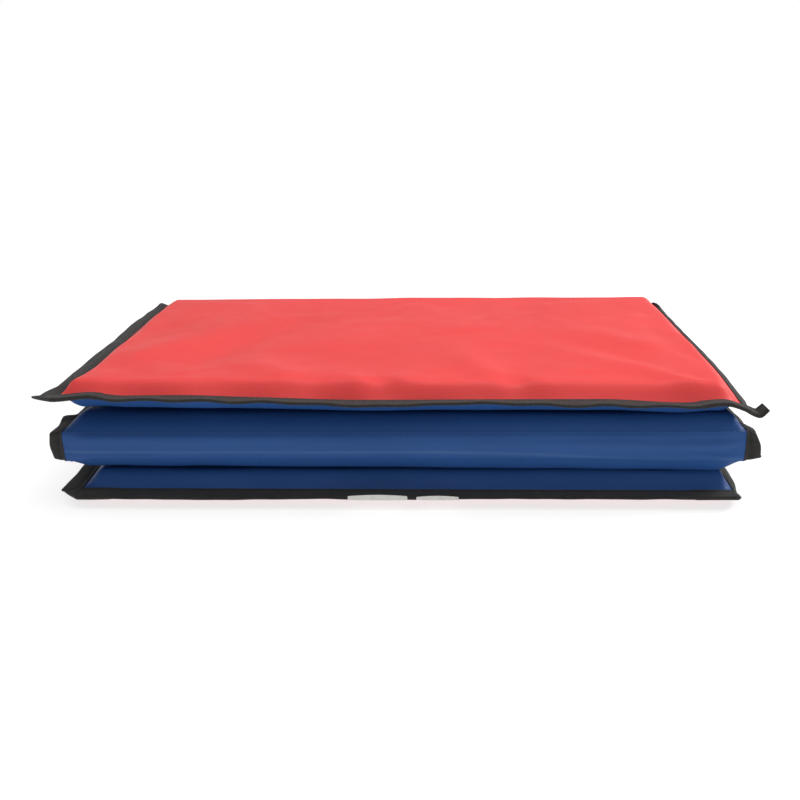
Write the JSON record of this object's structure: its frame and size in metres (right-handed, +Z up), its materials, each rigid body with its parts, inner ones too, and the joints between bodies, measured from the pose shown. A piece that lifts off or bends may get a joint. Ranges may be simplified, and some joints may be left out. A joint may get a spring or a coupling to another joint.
{
  "type": "folding gym mat",
  "caption": "Folding gym mat of padded vinyl panels, red on one face and blue on the other, bound in black tape, that folds in a zigzag stack and opens flat",
  "frame": {"origin": "centre of the folded mat's bounding box on the floor it lies on", "axes": "+Z up, +X along the folds and seams (the mat's width), +Y from the two bound free ends at the front to the back"},
  "size_m": [0.483, 0.2766, 0.0852],
  "materials": {
    "red_vinyl": "satin coated fabric with a fine grain",
    "blue_vinyl": "semi-gloss coated fabric with a fine grain",
    "black_tape": "matt woven binding tape",
    "foam": "open-cell polyurethane foam",
    "thread": "bonded sewing thread",
    "label_cloth": "plain woven label cloth, blank"
  },
  "bodies": {
    "bottom_panel": {"bottom_foam_core": "foam", "bottom_red_cover": "red_vinyl", "bottom_blue_cover": "blue_vinyl", "bottom_left_binding": "black_tape", "bottom_right_binding": "black_tape", "bottom_end_binding": "black_tape", "left_label": "label_cloth", "right_label": "label_cloth"},
    "lower_middle_panel": {"lower_middle_foam_core": "foam", "lower_middle_red_cover": "red_vinyl", "lower_middle_blue_cover": "blue_vinyl", "lower_middle_left_binding": "black_tape", "lower_middle_right_binding": "black_tape"},
    "upper_middle_panel": {"upper_middle_foam_core": "foam", "upper_middle_red_cover": "red_vinyl", "upper_middle_blue_cover": "blue_vinyl", "upper_middle_left_binding": "black_tape", "upper_middle_right_binding": "black_tape"},
    "top_panel": {"top_foam_core": "foam", "top_red_cover": "red_vinyl", "top_blue_cover": "blue_vinyl", "top_left_binding": "black_tape", "top_right_binding": "black_tape", "top_end_binding": "black_tape"},
    "rear_lower_fold": {"rear_lower_fold_red_strip": "red_vinyl", "rear_lower_fold_blue_strip": "blue_vinyl", "rear_lower_fold_left_binding": "black_tape", "rear_lower_fold_right_binding": "black_tape", "rear_lower_fold_lower_seam_thread": "thread", "rear_lower_fold_upper_seam_thread": "thread"},
    "front_fold": {"front_fold_red_strip": "red_vinyl", "front_fold_blue_strip": "blue_vinyl", "front_fold_left_binding": "black_tape", "front_fold_right_binding": "black_tape", "front_fold_lower_seam_thread": "thread", "front_fold_upper_seam_thread": "thread"},
    "rear_upper_fold": {"rear_upper_fold_red_strip": "red_vinyl", "rear_upper_fold_blue_strip": "blue_vinyl", "rear_upper_fold_left_binding": "black_tape", "rear_upper_fold_right_binding": "black_tape", "rear_upper_fold_lower_seam_thread": "thread", "rear_upper_fold_upper_seam_thread": "thread"}
  },
  "joints": [
    {"name": "rear_lower_fold_lower_seam", "type": "hinge", "parent": "bottom_panel", "child": "rear_lower_fold", "pos_m": [0, 0.13662, 0.0105], "axis": [-1, 0, 0], "range_deg": [0, 90]},
    {"name": "rear_lower_fold_upper_seam", "type": "hinge", "parent": "rear_lower_fold", "child": "lower_middle_panel", "pos_m": [0, 0.13662, 0.0319], "axis": [-1, 0, 0], "range_deg": [0, 90]},
    {"name": "front_fold_lower_seam", "type": "hinge", "parent": "lower_middle_panel", "child": "front_fold", "pos_m": [0, -0.12782, 0.0319], "axis": [1, 0, 0], "range_deg": [0, 90]},
    {"name": "front_fold_upper_seam", "type": "hinge", "parent": "front_fold", "child": "upper_middle_panel", "pos_m": [0, -0.12782, 0.0533], "axis": [1, 0, 0], "range_deg": [0, 90]},
    {"name": "rear_upper_fold_lower_seam", "type": "hinge", "parent": "upper_middle_panel", "child": "rear_upper_fold", "pos_m": [0, 0.13662, 0.0533], "axis": [-1, 0, 0], "range_deg": [0, 90]},
    {"name": "rear_upper_fold_upper_seam", "type": "hinge", "parent": "rear_upper_fold", "child": "top_panel", "pos_m": [0, 0.13662, 0.0747], "axis": [-1, 0, 0], "range_deg": [0, 90]}
  ],
  "couplings": [
    {"joint": "rear_lower_fold_upper_seam", "follows": "rear_lower_fold_lower_seam", "ratio": 1},
    {"joint": "front_fold_upper_seam", "follows": "front_fold_lower_seam", "ratio": 1},
    {"joint": "rear_upper_fold_upper_seam", "follows": "rear_upper_fold_lower_seam", "ratio": 1}
  ]
}
